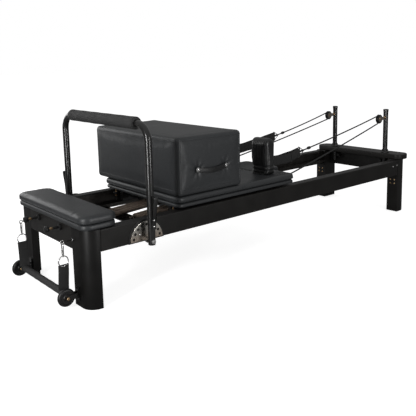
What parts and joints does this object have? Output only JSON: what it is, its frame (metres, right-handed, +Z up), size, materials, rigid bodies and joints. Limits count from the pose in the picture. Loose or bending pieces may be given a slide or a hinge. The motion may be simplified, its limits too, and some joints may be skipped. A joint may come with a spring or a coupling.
{
  "type": "pilates reformer",
  "caption": "Low padded exercise frame with a spring-loaded sliding carriage, upright footbar, rope risers with pulleys, a sitting box and a strap-hung bar.",
  "frame": {"origin": "on the floor under the middle of the machine's bounding box", "axes": "+X from the foot end (platform, footbar) to the head end (rope risers), +Y to the left when facing the head end, +Z up"},
  "size_m": [2.527, 0.8636, 0.803],
  "materials": {
    "frame_coat": "fine satin charcoal powder coat on aluminium rails, panel, columns, beam and cap",
    "black_steel": "black painted steel tube and sheet",
    "track_aluminium": "dark anodised aluminium, drawn lines along its length",
    "vinyl": "soft black-grey upholstery vinyl with a fine grain over foam",
    "zinc": "yellowish zinc-plated steel plate",
    "steel": "bright plated steel fittings",
    "spring_steel": "plated spring wire, slightly brown",
    "hard_plastic": "black moulded plastic",
    "webbing": "black woven webbing and braided rope",
    "foam_grip": "closed-cell foam grip, matt charcoal",
    "wheel_tyre": "hard black polyurethane"
  },
  "bodies": {
    "frame": {"side_rail_near": "frame_coat", "side_rail_far": "frame_coat", "end_panel": "frame_coat", "foot_column_near": "frame_coat", "foot_column_far": "frame_coat", "head_column_near": "frame_coat", "head_column_far": "frame_coat", "head_beam": "frame_coat", "head_cap": "frame_coat", "track_near": "track_aluminium", "track_far": "track_aluminium", "spring_bar": "black_steel", "second_spring_bar": "black_steel", "platform_base": "vinyl", "platform_pad": "vinyl", "quadrant_near": "zinc", "quadrant_far": "zinc", "riser_near": "black_steel", "riser_far": "black_steel", "pulley_block_near": "steel", "pulley_block_far": "steel", "peg_near": "hard_plastic", "peg_far": "hard_plastic", "wheel_bracket_near": "black_steel", "wheel_bracket_far": "black_steel"},
    "footbar": {"footbar": "black_steel", "footbar_roll": "foam_grip"},
    "lock_lever_near": {"lock_lever_near": "hard_plastic"},
    "lock_lever_far": {"lock_lever_far": "hard_plastic"},
    "hanging_bar": {"hanging_bar": "foam_grip", "hanging_strap_near": "webbing", "hanging_strap_far": "webbing", "hanging_ring_near": "steel", "hanging_ring_far": "steel"},
    "transport_wheel_near": {"transport_wheel_near": "wheel_tyre"},
    "transport_wheel_far": {"transport_wheel_far": "wheel_tyre"},
    "sheave_near": {"sheave_near": "hard_plastic"},
    "sheave_far": {"sheave_far": "hard_plastic"},
    "carriage": {"carriage_chassis": "black_steel", "carriage_base": "vinyl", "carriage_pad": "vinyl", "shoulder_rest_near": "vinyl", "shoulder_rest_far": "vinyl", "spring_1": "spring_steel", "spring_2": "spring_steel", "spring_3": "spring_steel", "spring_4": "spring_steel", "spring_5": "spring_steel", "rope_near": "webbing", "rope_far": "webbing", "rope_loop_near": "webbing", "rope_loop_far": "webbing"},
    "headrest": {"headrest": "vinyl"},
    "carriage_wheel_near_foot": {"carriage_wheel_near_foot": "wheel_tyre"},
    "carriage_wheel_near_head": {"carriage_wheel_near_head": "wheel_tyre"},
    "carriage_wheel_far_foot": {"carriage_wheel_far_foot": "wheel_tyre"},
    "carriage_wheel_far_head": {"carriage_wheel_far_head": "wheel_tyre"},
    "sitting_box": {"sitting_box": "vinyl", "box_handle_near": "vinyl", "box_handle_far": "vinyl"}
  },
  "joints": [
    {"name": "carriage_slide", "type": "slide", "parent": "frame", "child": "carriage", "axis": [1, 0, 0], "range_m": [0, 0.8], "stiffness_N_per_m": 200, "springref_m": -0.1, "deforming": ["spring_1", "spring_2", "spring_3", "spring_4", "spring_5", "rope_near", "rope_far", "rope_loop_near", "rope_loop_far"]},
    {"name": "footbar_tilt", "type": "hinge", "parent": "frame", "child": "footbar", "pos_m": [-0.8685, 0, 0.257], "axis": [0, 1, 0], "range_deg": [-80, 15]},
    {"name": "lock_lever_near_pull", "type": "hinge", "parent": "footbar", "child": "lock_lever_near", "pos_m": [-0.8685, -0.4018, 0.316], "axis": [1, 0, 0], "range_deg": [0, 10], "stiffness_Nm_per_rad": 1, "springref_deg": -17.19},
    {"name": "lock_lever_far_pull", "type": "hinge", "parent": "footbar", "child": "lock_lever_far", "pos_m": [-0.8685, 0.4018, 0.316], "axis": [-1, 0, 0], "range_deg": [0, 10], "stiffness_Nm_per_rad": 1, "springref_deg": -17.19},
    {"name": "hanging_bar_swing", "type": "hinge", "parent": "frame", "child": "hanging_bar", "pos_m": [-1.2135, 0, 0.281], "axis": [0, 1, 0], "range_deg": [0, 75]},
    {"name": "transport_wheel_near_spin", "type": "hinge", "parent": "frame", "child": "transport_wheel_near", "pos_m": [-1.2235, -0.245, 0.0545], "axis": [0, 1, 0], "continuous": true},
    {"name": "transport_wheel_far_spin", "type": "hinge", "parent": "frame", "child": "transport_wheel_far", "pos_m": [-1.2235, 0.245, 0.0545], "axis": [0, 1, 0], "continuous": true},
    {"name": "sheave_near_spin", "type": "hinge", "parent": "frame", "child": "sheave_near", "pos_m": [1.1055, -0.21, 0.617], "axis": [0, 1, 0], "continuous": true},
    {"name": "sheave_far_spin", "type": "hinge", "parent": "frame", "child": "sheave_far", "pos_m": [1.1055, 0.21, 0.617], "axis": [0, 1, 0], "continuous": true},
    {"name": "headrest_tilt", "type": "hinge", "parent": "carriage", "child": "headrest", "pos_m": [0.0165, 0, 0.412], "axis": [0, -1, 0], "range_deg": [0, 30]},
    {"name": "box_lift_off", "type": "slide", "parent": "carriage", "child": "sitting_box", "axis": [0, 0, 1], "range_m": [0, 0.25]},
    {"name": "carriage_wheel_near_foot_spin", "type": "hinge", "parent": "carriage", "child": "carriage_wheel_near_foot", "pos_m": [-0.6065, -0.25, 0.3113], "axis": [0, 1, 0], "range_deg": [-10, 1780]},
    {"name": "carriage_wheel_near_head_spin", "type": "hinge", "parent": "carriage", "child": "carriage_wheel_near_head", "pos_m": [0.0535, -0.25, 0.3113], "axis": [0, 1, 0], "range_deg": [-10, 1780]},
    {"name": "carriage_wheel_far_foot_spin", "type": "hinge", "parent": "carriage", "child": "carriage_wheel_far_foot", "pos_m": [-0.6065, 0.25, 0.3113], "axis": [0, 1, 0], "range_deg": [-10, 1780]},
    {"name": "carriage_wheel_far_head_spin", "type": "hinge", "parent": "carriage", "child": "carriage_wheel_far_head", "pos_m": [0.0535, 0.25, 0.3113], "axis": [0, 1, 0], "range_deg": [-10, 1780]}
  ],
  "couplings": [
    {"joint": "carriage_wheel_near_foot_spin", "follows": "carriage_slide", "rad_per_m": 38.462},
    {"joint": "carriage_wheel_near_head_spin", "follows": "carriage_slide", "rad_per_m": 38.462},
    {"joint": "carriage_wheel_far_foot_spin", "follows": "carriage_slide", "rad_per_m": 38.462},
    {"joint": "carriage_wheel_far_head_spin", "follows": "carriage_slide", "rad_per_m": 38.462}
  ]
}
